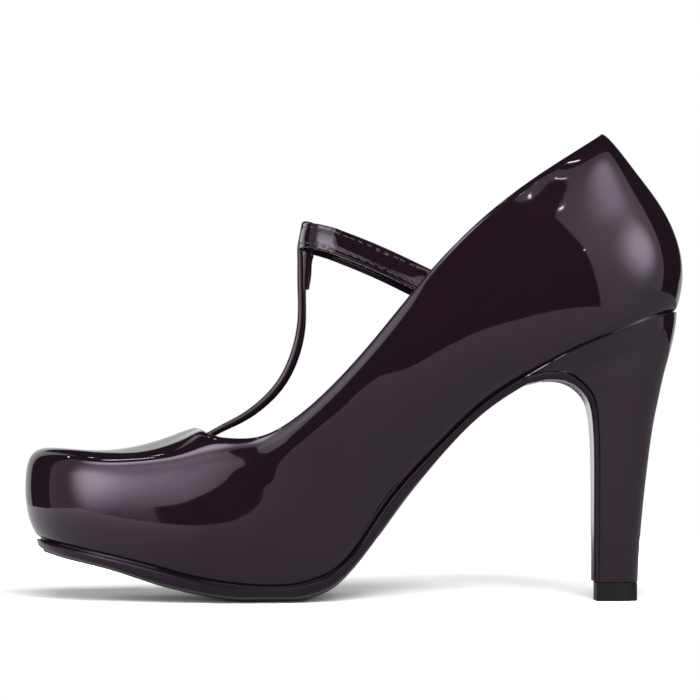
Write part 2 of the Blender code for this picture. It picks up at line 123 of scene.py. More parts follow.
# %% [markdown]
# ## Stage and light
# Patent leather shows the room more than its own colour. The picture's reflections give that room
# away: a white table that ends 30 cm before the shoe, a large softbox at the left with a tilted wing,
# one at the right, a dark gap between them for the camera, and white walls behind. Each softbox has
# hot spots and fades to its rim. They are glowing sheets here, because a sheet's glow can be uneven.

# %% Stage
TABLE = {"left": -340, "right": 620, "front": -295, "back": 1190}
SHEET_STEPS = 12
PAPER, PAINTED_LIGHT_LEFT = 0.14, 0.6         # tone of the paper in reflections, and of its left end with painted light
PAINTED_LIGHT_FROM = -60                   # left of here painted light brightens the paper in reflections towards that end
PRINTED_NEAR, PAINTED_LIGHT_FAR = 0.5, 2.2  # tone of its print beside the shoe, and far from it with painted light
NEAR, FAR = 150, 800                  # distances from the shoe between which painted light lightens the print


def stage_sheet(name, corners, finish):
    """A sheet between four corners, two low and two high, as stage and not part of the shoe."""
    mesh = bmesh.new()
    bmesh.ops.create_grid(mesh, x_segments=SHEET_STEPS, y_segments=SHEET_STEPS, size=0.5)
    low_left, low_right, high_left, high_right = (Vector(corner) * MM for corner in corners)
    for vert in mesh.verts:
        across, up = vert.co.x + 0.5, vert.co.y + 0.5
        vert.co = low_left.lerp(low_right, across).lerp(high_left.lerp(high_right, across), up)
    data = bpy.data.meshes.new(name)
    mesh.to_mesh(data)
    mesh.free()
    data.materials.append(finish)
    made = bpy.data.objects.new(name, data)
    bpy.context.scene.collection.objects.link(made)
    return made


def table_paper_painted_light():
    """White paper. Its print is lighter than it reflects, so the ground reads plain white, and lighter
    still far from the shoe: painted light where the lamp's light falls off. In reflections its left end
    is lighter: painted light.
    """
    made, tree = new_material("table_paper_painted_light")
    path = add_node(tree, "ShaderNodeLightPath")
    place = add_node(tree, "ShaderNodeTexCoord").outputs["Object"]
    away = add_node(tree, "ShaderNodeVectorMath", {0: place}, operation="LENGTH").outputs["Value"]
    # The print lightens away from the shoe: painted light where the lamp's light falls off.
    print_with_painted_light = add_node(tree, "ShaderNodeMapRange", {
        "Value": away, "From Min": NEAR * MM, "From Max": FAR * MM,
        "To Min": PRINTED_NEAR, "To Max": PAINTED_LIGHT_FAR})
    along = add_node(tree, "ShaderNodeSeparateXYZ", {0: place}).outputs["X"]
    # In reflections the paper lightens towards its left end: painted light.
    reflected_with_painted_light = add_node(tree, "ShaderNodeMapRange", {
        "Value": along, "From Min": TABLE["left"] * MM, "From Max": PAINTED_LIGHT_FROM * MM,
        "To Min": PAINTED_LIGHT_LEFT, "To Max": PAPER})
    tone = add_node(tree, "ShaderNodeMix", {
        "Factor": path.outputs["Is Camera Ray"],
        "A": reflected_with_painted_light.outputs["Result"], "B": print_with_painted_light.outputs["Result"]})
    finish_with(tree, add_node(tree, "ShaderNodeBsdfDiffuse", {"Color": tone.outputs[0]}))
    return made


table = stage_sheet("table", (
    (TABLE["left"], TABLE["front"], 0), (TABLE["right"], TABLE["front"], 0),
    (TABLE["left"], TABLE["back"], 0), (TABLE["right"], TABLE["back"], 0),
), table_paper_painted_light())
print(f"table: {TABLE['right'] - TABLE['left']} x {TABLE['back'] - TABLE['front']} mm")

# %% [markdown]
# A softbox is a cloth front with a lamp behind it: brightest before the lamp, dimmer at the rim. An
# area light is even all over, so each one is a sheet whose glow is summed from round spots.

# %% Softboxes
HotSpot = namedtuple("HotSpot", "x y z radius glow")


def glowing_sheet(name, glow, spots=()):
    """An even glow, with brighter round spots that fade out."""
    made, tree = new_material(name)
    place = add_node(tree, "ShaderNodeTexCoord").outputs["Object"]
    total = glow
    for spot in spots:
        away = add_node(tree, "ShaderNodeVectorMath", {
            0: place, 1: Vector((spot.x, spot.y, spot.z)) * MM}, operation="DISTANCE")
        share = add_node(tree, "ShaderNodeMapRange", {
            "Value": away.outputs["Value"], "From Min": 0.0, "From Max": spot.radius * MM,
            "To Min": spot.glow, "To Max": 0.0}, interpolation_type="SMOOTHERSTEP")
        total = add_node(tree, "ShaderNodeMath", {0: total, 1: share.outputs["Result"]}).outputs[0]
    finish_with(tree, add_node(tree, "ShaderNodeEmission", {"Strength": total}))
    return made


LEFT_SPOTS = (
    HotSpot(-560, -800, 320, 520, 5.7), HotSpot(-600, -780, 1620, 650, 6.3),
    HotSpot(-480, -900, 780, 700, 2.0), HotSpot(-330, -1130, 260, 420, 1.5),
)
RIGHT_SPOTS = (
    HotSpot(880, -530, 380, 480, 4.4), HotSpot(720, -700, 1060, 520, 2.4),
    HotSpot(760, -660, 750, 1050, 0.6),
)
SHEETS = {
    "softbox_left": (
        ((-1190, 10, -350), (-355, -1130, -350), (-1190, 10, 1900), (-355, -1130, 1900)),
        0.5, LEFT_SPOTS),
    "softbox_left_wing": (
        ((-355, -1130, 45), (-80, -1130, 172), (-355, -1130, 1040), (-333, -1130, 1030)),
        0.5, LEFT_SPOTS),
    "softbox_left_top": (
        ((-355, -1130, 1035), (-333, -1130, 1030), (-355, -1130, 1900), (-62, -1130, 1900)),
        0.5, LEFT_SPOTS),
    "softbox_right": (
        ((640, -1030, -350), (1200, -40, -350), (220, -1166, 1750), (1200, -40, 1750)),
        0.75, RIGHT_SPOTS),
    "softbox_right_wing": (
        ((478, -1082, 460), (482, -1082, 440), (275, -1150, 1080), (300, -1146, 1400)),
        0.75, RIGHT_SPOTS),
    "wall_behind": (
        ((1280, 1200, -300), (-580, 1200, -300), (1280, 1200, 60), (-580, 1200, 700)),
        0.75, (HotSpot(50, 1200, 60, 400, 0.6),)),
    "wall_left": (
        ((-580, 1200, -300), (-1400, 1200, -300), (-580, 1200, 700), (-1250, 1200, 3600)),
        0.75, ()),
}
for name, (corners, glow, spots) in SHEETS.items():
    stage_sheet(name, corners, glowing_sheet(name, glow, spots)).visible_camera = False
print("sheets:", list(SHEETS))

# %% [markdown]
# Small bulbs high up leave the short white glints. A glint is drawn out along a tight curve, so each
# bulb is a little sheet that faces the shoe. A low lamp in front whitens the paper and casts the
# shadow. It lights nothing else, because the gloss is to show only the sheets.

# %% Bulbs and floor lamp
Bulb = namedtuple("Bulb", "name x y z width height")
BULB_GLOW = 26.0
BULBS = (
    Bulb("over_toe", -384, -103, 1309, 50, 40), Bulb("over_toe_left", -677, 260, 1174, 70, 40),
    Bulb("over_vamp", -388, 243, 1277, 40, 30), Bulb("right_high", 262, -972, 999, 22, 14),
    Bulb("right_higher", 221, -841, 1137, 10, 10), Bulb("right_top", 215, -595, 1303, 60, 28),
    Bulb("right_low", 545, -1165, 480, 80, 26),
)


def bulb_corners(bulb):
    """The four corners of a bulb's sheet, square to the way to the shoe."""
    middle = Vector((bulb.x, bulb.y, bulb.z))
    across = Vector((-bulb.y, bulb.x, 0)).normalized() * bulb.width / 2
    up = middle.normalized().cross(across).normalized() * bulb.height / 2
    return middle - across - up, middle + across - up, middle - across + up, middle + across + up


for bulb in BULBS:
    glow = glowing_sheet(f"bulb_{bulb.name}", BULB_GLOW)
    stage_sheet(f"bulb_{bulb.name}", bulb_corners(bulb), glow).visible_camera = False

LAMP_AT, LAMP_TARGET = Vector((-100, -1500, 310)), Vector((0, 50, 0))
LAMP_SIZE, LAMP_WATTS = 900, 460.0
lamp_data = bpy.data.lights.new("floor_lamp", "AREA")
lamp_data.size, lamp_data.energy = LAMP_SIZE * MM, LAMP_WATTS
lamp = aim(bpy.data.objects.new("floor_lamp", lamp_data), LAMP_AT, LAMP_TARGET)
lamp.visible_glossy = False
only_table = bpy.data.collections.new("lit_by_floor_lamp")
only_table.objects.link(table)
lamp.light_linking.receiver_collection = only_table
print("bulbs:", [bulb.name for bulb in BULBS], "and a floor lamp")

# %% [markdown]
# The rest of the room is almost dark to the gloss, but the picture has a plain white ground. The
# world tells the two apart by the kind of ray.

# %% World
ROOM, GROUND = (0.02, 0.02, 0.02, 1), (1.0, 1.0, 1.0, 1)
world = bpy.data.worlds.new("studio")
bpy.context.scene.world = world
world.use_nodes = True
world.node_tree.nodes.clear()
is_camera = add_node(world.node_tree, "ShaderNodeLightPath").outputs["Is Camera Ray"]
tone = add_node(world.node_tree, "ShaderNodeMix", {
    "Factor": is_camera, "A": ROOM, "B": GROUND}, data_type="RGBA")
air = add_node(world.node_tree, "ShaderNodeBackground", {"Color": tone.outputs["Result"]})
add_node(world.node_tree, "ShaderNodeOutputWorld", {"Surface": air.outputs[0]})
bpy.context.scene.view_settings.view_transform = "Standard"
print("room:", ROOM, "ground:", GROUND)

# %% [markdown]
# ## Sizes of the shoe
# The toe points along -X, the heel along +X, the inner side faces -Y and the floor is z = 0. Lengths
# are millimetres. Each table has one row for each section, and smooth curves run through the rows.

# %% Sizes
GAP, WALL, INSOLE = 0.3, 1.8, 2.5
WELT, WAIST_WELT = 0.9, 0.3
TOP_LIFT = 6.0
STRAP_WIDTH, STRAP_THICK, STEM_WIDTH = 8.4, 1.8, 6.4

SoleRow = namedtuple("SoleRow", "x seam ground camber")
SOLE = (
    SoleRow(-106.5, 21.4, 17.4, 0.9), SoleRow(-98.0, 19.2, 14.7, 1.2), SoleRow(-83.0, 15.8, 11.0, 1.4),
    SoleRow(-64.5, 11.4, 5.2, 1.6), SoleRow(-54.8, 8.8, 2.7, 1.8), SoleRow(-45.0, 6.9, 0.8, 1.9),
    SoleRow(-38.0, 6.0, 0.0, 1.9), SoleRow(-28.0, 5.4, -0.4, 1.9), SoleRow(-19.0, 6.0, 0.0, 1.9),
    SoleRow(-12.6, 7.7, 1.6, 1.8), SoleRow(-6.9, 10.3, 4.6, 1.4), SoleRow(0.3, 17.6, 11.6, 1.2),
    SoleRow(8.6, 29.8, 22.4, 1.2), SoleRow(15.8, 39.2, 32.4, 1.1), SoleRow(25.2, 49.3, 44.2, 0.8),
    SoleRow(41.6, 65.2, 61.6, 0.4), SoleRow(58.6, 76.4, 73.2, 0.2), SoleRow(75.0, 85.2, 81.8, 0.2),
    SoleRow(90.6, 91.6, 88.2, 0.2), SoleRow(100.0, 95.4, 92.0, 0.2), SoleRow(108.7, 97.6, 94.2, 0.2),
)
EdgeRow = namedtuple("EdgeRow", "x z")
TOP_LINE = (
    EdgeRow(-53.6, 59.1), EdgeRow(-48.0, 56.3), EdgeRow(-40.0, 54.9), EdgeRow(-31.0, 55.6),
    EdgeRow(-21.5, 60.4), EdgeRow(-8.2, 71.8), EdgeRow(5.0, 86.3), EdgeRow(24.9, 110.2),
    EdgeRow(44.8, 129.9), EdgeRow(65.1, 145.3), EdgeRow(84.0, 158.0),
)
FOOTBED = (
    EdgeRow(-106.0, 32.0), EdgeRow(-85.0, 27.0), EdgeRow(-60.0, 21.6), EdgeRow(-35.0, 18.6),
    EdgeRow(-18.0, 18.6), EdgeRow(-4.0, 23.4), EdgeRow(6.0, 31.6), EdgeRow(14.0, 40.4),
)
# A section has its ends on the seam and the collar, inner and outer, four swells outwards between
# them, and how boxed it is. Drop and sag lower the last two swells, as shares of its height.
Section = namedtuple("Section", "name foot_x foot_in foot_out edge_x edge_in edge_out "
                                "low mid top crown square drop sag")
SECTIONS = (
    Section("back", 108.4, 0.0, 0.0, 84.0, 0.0, 0.0, 8.0, 12.2, 7.3, 2.6, 0.0, 0.0, 0.0),
    Section("counter", 101.0, -14.5, 14.8, 80.4, -9.5, 9.5, 6.5, 10.2, 6.8, 3.4, 0.0, 0.0, -0.07),
    Section("seat", 84.0, -21.8, 22.2, 63.0, -19.0, 19.4, 4.0, 7.6, 5.2, 1.8, 0.0, 0.0, -0.02),
    Section("breast", 62.0, -22.2, 23.6, 45.0, -25.0, 25.0, 3.2, 6.4, 5.2, 2.0, 0.0, 0.0, 0.0),
    Section("waist", 38.0, -22.6, 24.8, 24.0, -30.0, 29.4, 2.8, 5.8, 5.4, 3.0, 0.0, 0.0, 0.0),
    Section("arch", 14.0, -24.2, 28.5, 4.0, -33.4, 33.0, 1.2, 3.2, 4.4, 4.2, 0.0, -0.03, -0.04),
    Section("joint", -10.0, -29.6, 33.8, -15.0, -35.9, 35.8, 0.2, 1.0, 2.8, 4.4, 0.0, -0.04, -0.05),
    Section("ball", -36.0, -35.8, 36.2, -31.0, -36.1, 35.9, 2.0, 3.2, 3.2, 3.3, 0.05, -0.02, -0.04),
    Section("tread", -62.0, -36.0, 33.2, -48.0, -32.4, 29.4, 2.6, 4.0, 3.0, 2.3, 0.5, 0.01, 0.03),
    Section("side", -85.0, -32.0, 24.0, -51.5, -19.0, 17.0, 3.9, 5.2, 2.2, 0.6, 0.85, 0.05, 0.14),
    Section("corner", -99.5, -23.0, 10.8, -53.0, -9.2, 7.2, 4.5, 5.8, 2.0, 0.8, 0.95, 0.01, 0.22),
    Section("tip", -105.8, -6.5, -6.5, -53.6, -1.0, -1.0, 4.5, 5.6, 1.4, 0.8, 1.0, -0.01, 0.28),
)
# How far the four swells lie from the seam to the collar, and how high, on a side and at the toe.
PLAIN_RUN, BOXED_RUN = (0.17, 0.45, 0.72, 0.88), (0.0, 0.0, 0.0, 0.5)
PLAIN_RISE, BOXED_RISE = (0.17, 0.45, 0.72, 0.88), (0.15, 0.6, 0.905, 0.95)
TIP = len(SECTIONS) - 1
LAP = 2 * TIP
print(f"{len(SECTIONS)} sections, {LAP} places round the shoe")

# %% [markdown]
# A natural cubic spline runs through the rows of a table with no corner and no jump in its bend. The
# columns that go round the shoe close on themselves, so the toe and heel have no seam.

# %% Spline


def spline(knots, values, period=None):
    """A smooth curve through the values: natural at its ends, or closed over a period."""
    x, y = np.array(knots, float), np.array(values, float)
    if period:
        x = np.append(x, x[0] + period)
        y = np.append(y, y[0])
    n = len(x) - 1
    step = np.diff(x)
    rise = np.diff(y) / step
    matrix, right = np.zeros((n + 1, n + 1)), np.zeros(n + 1)
    for i in range(1, n):
        matrix[i, i - 1:i + 2] = step[i - 1], 2 * (step[i - 1] + step[i]), step[i]
        right[i] = 6 * (rise[i] - rise[i - 1])
    if period:
        matrix[0, 0], matrix[0, n] = 1, -1
        matrix[n, 0], matrix[n, 1] = 2 * step[0], step[0]
        matrix[n, n - 1], matrix[n, n] = step[-1], 2 * step[-1]
        right[n] = 6 * (rise[0] - rise[-1])
    else:
        matrix[0, 0] = matrix[n, n] = 1
    bend = np.linalg.solve(matrix, right)

    def at(t):
        if period:
            t = x[0] + (t - x[0]) % period
        i = int(min(max(np.searchsorted(x, t) - 1, 0), n - 1))
        h, a, b = step[i], x[i + 1] - t, t - x[i]
        return float(
            (bend[i] * a ** 3 + bend[i + 1] * b ** 3) / (6 * h)
            + (y[i] / h - bend[i] * h / 6) * a
            + (y[i + 1] / h - bend[i + 1] * h / 6) * b
        )

    return at


print("halfway along a bump:", round(spline((0, 1, 2), (0, 1, 0))(0.5), 3))

# %% [markdown]
# Each table now becomes a few curves over x, and each column of the sections a curve round the shoe.

# %% Curves of the shoe
SLOPE_STEP = 0.1          # small step for a slope


def column(rows, x, y):
    return spline([getattr(r, x) for r in rows], [getattr(r, y) for r in rows])


seam_z = column(SOLE, "x", "seam")
ground_curve = column(SOLE, "x", "ground")
camber = column(SOLE, "x", "camber")
top_line_z = column(TOP_LINE, "x", "z")
footbed_near_toe = column(FOOTBED, "x", "z")


def under_seam(x):
    """Height a running gap below the seam, measured square to its slope."""
    slope = (seam_z(x + SLOPE_STEP) - seam_z(x - SLOPE_STEP)) / (2 * SLOPE_STEP)
    return seam_z(x) - GAP * math.hypot(1, slope)


def footbed_z(x):
    """Top of the insole: its own curve over the platform, a board's thickness over the seam behind."""
    behind = seam_z(x) + INSOLE + GAP
    return behind if x >= FOOTBED[-1].x else max(footbed_near_toe(x), behind)


def round_column(inner, outer):
    values = [getattr(s, inner) for s in SECTIONS] + [getattr(s, outer) for s in SECTIONS[-2:0:-1]]
    return spline(range(LAP), values, period=LAP)


BOTH_SIDES = [name for name in Section._fields[1:] if not name.endswith(("in", "out"))]
ROUND = {name: round_column(name, name) for name in BOTH_SIDES}
ROUND["foot_y"] = round_column("foot_in", "foot_out")
ROUND["edge_y"] = round_column("edge_in", "edge_out")
print("round the shoe:", sorted(ROUND))

# %% [markdown]
# ## The upper's own form
# A place round the shoe counts sections: 0 at the back of the heel, 11 at the toe along the inner
# side, and on to 22 along the outer side. At each place a cubic B-spline climbs from the sole to the
# collar, so the skin is smooth both ways. That matters more than the count of faces: a reflection
# bends wherever the curvature jumps.

# %% Skin
SIDE_STEP, RISE_STEP = 0.05, 0.01     # small steps for a slope, in places and in shares of the height


@lru_cache(maxsize=None)
def foot_point(place):
    x = ROUND["foot_x"](place)
    return Vector((x, ROUND["foot_y"](place), seam_z(x)))


def outward(place):
    """Level direction that faces out of the shoe, square to the seam's outline."""
    along = foot_point(place + SIDE_STEP) - foot_point(place - SIDE_STEP)
    return Vector((-along.y, along.x, 0)).normalized()


def spline_point(points, share):
    """A point of a clamped cubic B-spline, by repeated mixing of its control points."""
    spans = len(points) - 3
    knots = [0.0] * 3 + [i / spans for i in range(spans + 1)] + [1.0] * 3
    span = min(int(share * spans), spans - 1) + 3
    mixed = [points[span - 3 + i] for i in range(4)]
    for level in range(1, 4):
        for i in range(3, level - 1, -1):
            low = knots[span - 3 + i]
            high = knots[span + 1 + i - level]
            mixed[i] = mixed[i - 1].lerp(mixed[i], (share - low) / (high - low))
    return mixed[3]


@lru_cache(maxsize=None)
def section_curve(place):
    """Control points of the upper's outer skin at one place, from the sole to the collar."""
    foot = foot_point(place)
    edge_x = ROUND["edge_x"](place)
    edge = Vector((edge_x, ROUND["edge_y"](place), top_line_z(edge_x)))
    out, square = outward(place), ROUND["square"](place)
    swells = [ROUND[name](place) for name in ("low", "mid", "top", "crown")]
    drops = (0, 0, ROUND["drop"](place), ROUND["sag"](place))
    points = [foot]
    for i in range(4):
        run = PLAIN_RUN[i] + (BOXED_RUN[i] - PLAIN_RUN[i]) * square
        rise = PLAIN_RISE[i] + (BOXED_RISE[i] - PLAIN_RISE[i]) * square - drops[i]
        point = foot.lerp(edge, run)
        point.z = foot.z + (edge.z - foot.z) * rise
        points.append(point + out * swells[i])
    return points + [edge]


def skin(place, share):
    return spline_point(section_curve(round(place, 5)), share)


print("toe at half its height:", [round(v, 1) for v in skin(TIP, 0.5)])

# %% [markdown]
# Everything inside the shoe is measured from the skin: the lining lies one wall under it, and the
# insole and the ends of the straps a gap further in. Where a height is given and the share of the
# section isn't, halving the range again and again finds it.

# %% Under the skin
HALVINGS, LINING_TOP = 20, 0.7        # rounds of a search, and the share of the height it stays under


def under_skin(place, share, depth):
    """A point under the outer skin, square to it."""
    up = skin(place, min(share + RISE_STEP, 1)) - skin(place, max(share - RISE_STEP, 0))
    along = skin(place + SIDE_STEP, share) - skin(place - SIDE_STEP, share)
    return skin(place, share) - up.cross(along).normalized() * depth


def lining_at(place, height_at, depth):
    """The point under the skin that lies on a height given over x, found by halving."""
    low, high = 0.0, LINING_TOP
    for _ in range(HALVINGS):
        middle = (low + high) / 2
        point = under_skin(place, middle, depth)
        low, high = (middle, high) if point.z < height_at(point.x) else (low, middle)
    return under_skin(place, (low + high) / 2, depth)


print("lining of the heel:", [round(v, 1) for v in lining_at(0, footbed_z, WALL)])

# %% [markdown]
# ## Finishes
# Patent leather is dyed hide under a poured polyurethane film. The film is the gloss: it lies a
# little wavy, so a reflection's edge wavers. The hide's dye lies in soft clouds of two close tones.

# %% Patent leather
DYE_CLOUD = 9.0           # millimetres across one cloud of the dye
FILM_WAVE, FILM_HEIGHT = 13.0, 0.03   # millimetres across and up one wave of the film


def surface_bump(tree, size, height, detail=2.0):
    """Soft lumps of a given size and height, both in millimetres."""
    place = add_node(tree, "ShaderNodeTexCoord").outputs["Object"]
    lumps = add_node(tree, "ShaderNodeTexNoise", {
        "Vector": place, "Scale": scale_for(size), "Detail": detail, "Roughness": 0.5})
    return add_node(tree, "ShaderNodeBump", {
        "Height": lumps.outputs[0], "Strength": 1.0, "Distance": height * MM})


def patent_leather(name, colour, tint, gloss_tint, roughness=0.05, coat=0.3):
    """Dyed hide under a dyed film and a clear one: dark, glossy, and plum even in its reflections."""
    made, tree = new_material(name)
    place = add_node(tree, "ShaderNodeTexCoord").outputs["Object"]
    clouds = add_node(tree, "ShaderNodeTexNoise", {
        "Vector": place, "Scale": scale_for(DYE_CLOUD), "Detail": 3.0})
    dye = add_node(tree, "ShaderNodeMix", {
        "Factor": clouds.outputs[0], "A": linear(colour), "B": linear(tint)}, data_type="RGBA")
    film = surface_bump(tree, FILM_WAVE, FILM_HEIGHT, detail=1.0).outputs[0]
    finish_with(tree, add_node(tree, "ShaderNodeBsdfPrincipled", {
        "Base Color": dye.outputs["Result"], "Roughness": roughness, "IOR": 1.5,
        "Specular IOR Level": 0.42, "Specular Tint": linear(gloss_tint), "Normal": film,
        "Coat Weight": coat, "Coat Roughness": 0.02, "Coat IOR": 1.5, "Coat Normal": film}))
    return made


PATENT = patent_leather("aubergine_patent", "#1C1118", "#20131B", "#F4DEFF")
EDGE_PAINT = patent_leather(
    "glossy_edge_paint", "#1A1117", "#1C1219", "#F4DEFF", roughness=0.2, coat=0.0)
print("glossy finishes:", [glossy.name for glossy in (PATENT, EDGE_PAINT)])

# %% [markdown]
# The other finishes are dull, so the eye reads them by tone and grain: the lining is napped and
# drinks light, the sock is smoother, rubber and moulded sole are black with a faint shine, and the
# thread is a little lighter than the leather, so that each stitch shows.

# %% Other finishes


def soft_finish(name, colour, tint, roughness, grain, height, sheen=0.0, shine=0.5):
    """A plain dull finish: two close tones in small clouds, and a fine grain."""
    made, tree = new_material(name)
    place = add_node(tree, "ShaderNodeTexCoord").outputs["Object"]
    clouds = add_node(tree, "ShaderNodeTexNoise", {
        "Vector": place, "Scale": scale_for(6 * grain), "Detail": 3.0})
    tone = add_node(tree, "ShaderNodeMix", {
        "Factor": clouds.outputs[0], "A": linear(colour), "B": linear(tint)}, data_type="RGBA")
    finish_with(tree, add_node(tree, "ShaderNodeBsdfPrincipled", {
        "Base Color": tone.outputs["Result"], "Roughness": roughness, "Sheen Weight": sheen,
        "Specular IOR Level": shine,
        "Normal": surface_bump(tree, grain, height).outputs[0]}))
    return made


LINING = soft_finish("microfibre_lining", "#1B1719", "#241E21", 0.9, 0.5, 0.03, sheen=0.15)
SOCK = soft_finish("padded_sock", "#231D20", "#2B2427", 0.6, 0.8, 0.03)
# The moulded sole's dull black also serves as painted shade on the groove's face above the sole.
SOLE_AND_GROOVE_SHADE = soft_finish("moulded_sole_and_groove_shade", "#121012", "#171517", 0.5, 1.2, 0.008)
RUBBER = soft_finish("black_rubber", "#141315", "#191819", 0.55, 0.5, 0.01, shine=0.2)
BOARD = soft_finish("platform_board", "#8A7460", "#77624F", 0.85, 1.5, 0.05)
THREAD = soft_finish("polyester_thread", "#4A3E47", "#574A53", 0.4, 0.2, 0.03)
print("dull finishes:", [dull.name for dull in (LINING, SOCK, SOLE_AND_GROOVE_SHADE, RUBBER, BOARD, THREAD)])

# %% [markdown]
# ## Making a piece
# Most pieces are sweeps: a row of points for each section, and faces between the rows. A flat grid
# is made first and its points are then moved to the rows, which spares listing the faces. The seam
# closes when doubled points are merged, and filling the holes closes the ends.

# %% Sweep
MERGE = 0.0005            # points nearer than this are one
SMOOTH_UNDER, BEVEL_OVER = 50, 40     # degrees between faces
BEVEL_STEPS = 4


def piece(name, mesh, finishes, node=None, bevel=None):
    """An object from a mesh, riding on the shoe's one body, with rounded edges where asked."""
    data = bpy.data.meshes.new(name)
    mesh.to_mesh(data)
    mesh.free()
    data.shade_smooth()
    for finish in finishes:
        data.materials.append(finish)
    made = bpy.data.objects.new(name, data)
    bpy.context.scene.collection.objects.link(made)
    if bevel:
        edge = made.modifiers.new("rounded_edges", "BEVEL")
        edge.width, edge.segments = bevel * MM, BEVEL_STEPS
        edge.limit_method, edge.angle_limit = "ANGLE", math.radians(BEVEL_OVER)
    data.set_sharp_from_angle(angle=math.radians(SMOOTH_UNDER))
    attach(made, "root")
    if node:
        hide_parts(node)
    print(f"{name}: {len(data.polygons)} faces")
    return made


def swept_mesh(rows, finish_of=None):
    """A closed mesh through rows of points in millimetres, one row for each section."""
    count, last = len(rows[0]), len(rows) - 1
    mesh = bmesh.new()
    bmesh.ops.create_grid(mesh, x_segments=last, y_segments=count, size=0.5)
    if finish_of:
        for face in mesh.faces:
            middle = face.calc_center_median()
            face.material_index = finish_of((middle.x + 0.5) * last, (middle.y + 0.5) * count)
    for vert in mesh.verts:
        row = rows[round((vert.co.x + 0.5) * last)]
        vert.co = row[round((vert.co.y + 0.5) * count) % count] * MM
    bmesh.ops.remove_doubles(mesh, verts=mesh.verts, dist=MERGE * MM)
    bmesh.ops.holes_fill(mesh, edges=mesh.edges, sides=0)
    bmesh.ops.recalc_face_normals(mesh, faces=mesh.faces)
    return mesh


# %% [markdown]
# ## Upper
# One wall goes round the last. Seen in section it climbs the outer skin, folds over at the collar
# and comes down as the lining. At the sole the edge is drawn under, which leaves the thin dark
# groove above the sole, its dark partly painted shade on the sole's face below. The section is
# swept once round the shoe, so the sweep has no ends.

# %% Sizes of the wall
ROUND_STEPS, RISE_STEPS, FOLD_STEPS, LINING_STEPS = 520, 80, 8, 24
FOLD_HEIGHT, FOLD_DEPTH = 1.8, 0.9   # how far the fold reaches down outside, and in from there
BACK_FOLD, BACK_UNTIL = 2.0, 3.0     # it is this much higher at the back, up to this place
TUCK_HEIGHT, TUCK_DEPTH = 2.8, 1.3   # feather edge, drawn under
SEAT_TUCK, TOE_TUCK, TOE_FROM = 0.4, 0.5, 9.5   # less so at the heel, and at the toe past a place
SEAT_GAP = 0.06           # what is left between the drawn-under edge and the sole
BEAD_AT, BEAD_WIDE, BEAD_HIGH = 1.5, 0.55, 0.28       # the wall swells where glue holds it at the waist
FURROW_AT, FURROW_WIDE, FURROW_DEEP = 3.2, 0.7, 0.2   # and sinks a little above that
WAIST_FROM, WAIST_TO = 2.6, 6.2      # places between which it does
EVEN_SHARE = 0.35         # how evenly the rows climb: the rest crowds them at the sole and the collar
print(f"wall: {ROUND_STEPS} sections of {RISE_STEPS + 2 * FOLD_STEPS + LINING_STEPS} steps")

# %% [markdown]
# The inner side has been flexed a little. Each crease is a straight line seen from the side: soft
# troughs, and ridges (a depth below 0) between them, which make a reflection's edge waver. A noise
# would put them anywhere, so they are listed one by one.

# %% Creases
Crease = namedtuple("Crease", "x z to_x to_z width depth")
CREASES = (
    Crease(-28.5, 21.9, -3.2, 50.5, 1.8, 0.030), Crease(-8.2, 43.9, 14.8, 66.3, 1.8, 0.026),
    Crease(19.8, 63.0, 25.3, 70.2, 1.8, 0.024), Crease(-37.7, 34.1, -30.5, 40.0, 2.6, -0.06),
    Crease(-27.0, 40.0, -20.0, 52.0, 3.2, -0.05), Crease(-19.0, 44.0, -10.0, 56.0, 3.0, 0.04),
    Crease(-12.0, 50.0, -3.0, 62.0, 3.2, -0.05), Crease(4.0, 62.0, 12.0, 72.0, 3.4, 0.04),
)


def bump_at(value, middle, width):
    return math.exp(-((value - middle) / width) ** 2)


def crease_depth(point):
    """How far the creases draw in a point of the inner side."""
    depth, here = 0.0, Vector((point.x, point.z))
    for crease in CREASES:
        start, end = Vector((crease.x, crease.z)), Vector((crease.to_x, crease.to_z))
        share = (here - start).dot(end - start) / (end - start).length_squared
        away = (here - start.lerp(end, min(max(share, 0), 1))).length
        if away < 3 * crease.width:
            depth += crease.depth * bump_at(away, 0, crease.width)
    return depth


print("deepest crease:", max(crease.depth for crease in CREASES), "mm")

# %% [markdown]
# With the sizes and creases at hand, one function draws the section of the wall at any place, and
# the sweep takes it round the shoe.

# %% Upper


def tuck(place, height):
    """How far the skin is drawn in at a height above the sole."""
    depth, inner = 0.0, min(place, LAP - place)
    if height < TUCK_HEIGHT:
        whole = SEAT_TUCK + (TUCK_DEPTH - SEAT_TUCK) * min(inner / WAIST_FROM, 1)
        whole += (TOE_TUCK - TUCK_DEPTH) * max(inner - TOE_FROM, 0) / (TIP - TOE_FROM)
        depth = whole * (1 - math.sqrt(1 - (1 - height / TUCK_HEIGHT) ** 2))
    waist = min(max(inner - WAIST_FROM, 0), max(WAIST_TO - inner, 0), 1)
    bead = BEAD_HIGH * bump_at(height, BEAD_AT, BEAD_WIDE)
    furrow = FURROW_DEEP * bump_at(height, FURROW_AT, FURROW_WIDE)
    return depth + waist * (furrow - bead)


def seated(point):
    """The point moved down on to the sole."""
    return Vector((point.x, point.y, under_seam(point.x) + SEAT_GAP))


